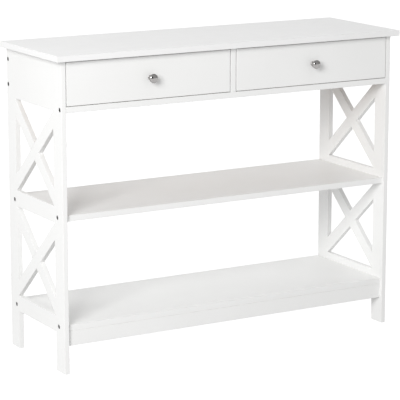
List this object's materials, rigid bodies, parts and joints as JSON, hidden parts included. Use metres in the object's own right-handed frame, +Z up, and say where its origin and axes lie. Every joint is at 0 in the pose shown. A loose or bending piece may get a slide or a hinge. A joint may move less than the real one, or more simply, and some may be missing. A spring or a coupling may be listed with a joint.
{
  "type": "console table",
  "caption": "White console table: flat overhanging top, drawers with round knobs, open shelves, and side frames with crossed braces.",
  "frame": {"origin": "on the floor under the middle of the whole object, knobs included", "axes": "+X to the right along the table's length, -Y to the front where the drawers open, +Z up"},
  "size_m": [1, 0.338, 0.797],
  "materials": {
    "white_lacquer": "satin white lacquer on fibreboard",
    "top_lacquer": "satin white lacquer on fibreboard, slightly glossier",
    "drawer_board": "matte white foil on board",
    "hardboard": "thin white-faced hardboard",
    "runner_wood": "waxed beech",
    "polished_chrome": "bright chrome plating",
    "black_steel": "blackened steel",
    "zinc_steel": "zinc-plated steel"
  },
  "bodies": {
    "table_frame": {"back_panel": "white_lacquer", "bottom_apron": "white_lacquer", "bottom_shelf": "white_lacquer", "centre_divider": "white_lacquer", "front_rail": "white_lacquer", "left_back_leg": "white_lacquer", "left_bottom_rail": "white_lacquer", "left_bottom_shelf_bolt_back": "black_steel", "left_bottom_shelf_bolt_front": "black_steel", "left_drawer_runner_left": "runner_wood", "left_drawer_runner_right": "runner_wood", "left_front_leg": "white_lacquer", "left_lower_brace_rising_back": "white_lacquer", "left_lower_brace_rising_front": "white_lacquer", "left_mid_rail": "white_lacquer", "left_mid_shelf_bolt_back": "black_steel", "left_mid_shelf_bolt_front": "black_steel", "left_panel_bolt_lower": "black_steel", "left_panel_bolt_upper": "black_steel", "left_rail_bolt": "black_steel", "left_side_panel": "white_lacquer", "left_upper_brace_rising_back": "white_lacquer", "left_upper_brace_rising_front": "white_lacquer", "mid_shelf": "white_lacquer", "right_back_leg": "white_lacquer", "right_bottom_rail": "white_lacquer", "right_bottom_shelf_bolt_back": "black_steel", "right_bottom_shelf_bolt_front": "black_steel", "right_drawer_runner_left": "runner_wood", "right_drawer_runner_right": "runner_wood", "right_front_leg": "white_lacquer", "right_lower_brace_rising_back": "white_lacquer", "right_lower_brace_rising_front": "white_lacquer", "right_mid_rail": "white_lacquer", "right_mid_shelf_bolt_back": "black_steel", "right_mid_shelf_bolt_front": "black_steel", "right_panel_bolt_lower": "black_steel", "right_panel_bolt_upper": "black_steel", "right_rail_bolt": "black_steel", "right_side_panel": "white_lacquer", "right_upper_brace_rising_back": "white_lacquer", "right_upper_brace_rising_front": "white_lacquer", "top_board": "top_lacquer"},
    "left_drawer": {"left_drawer_back": "drawer_board", "left_drawer_bottom": "hardboard", "left_drawer_front": "white_lacquer", "left_drawer_knob": "polished_chrome", "left_drawer_side_left": "drawer_board", "left_drawer_side_right": "drawer_board", "left_knob_screw": "zinc_steel"},
    "right_drawer": {"right_drawer_back": "drawer_board", "right_drawer_bottom": "hardboard", "right_drawer_front": "white_lacquer", "right_drawer_knob": "polished_chrome", "right_drawer_side_left": "drawer_board", "right_drawer_side_right": "drawer_board", "right_knob_screw": "zinc_steel"}
  },
  "joints": [
    {"name": "left_drawer_slide", "type": "slide", "parent": "table_frame", "child": "left_drawer", "axis": [0, -1, 0], "range_m": [0, 0.2]},
    {"name": "right_drawer_slide", "type": "slide", "parent": "table_frame", "child": "right_drawer", "axis": [0, -1, 0], "range_m": [0, 0.2]}
  ]
}
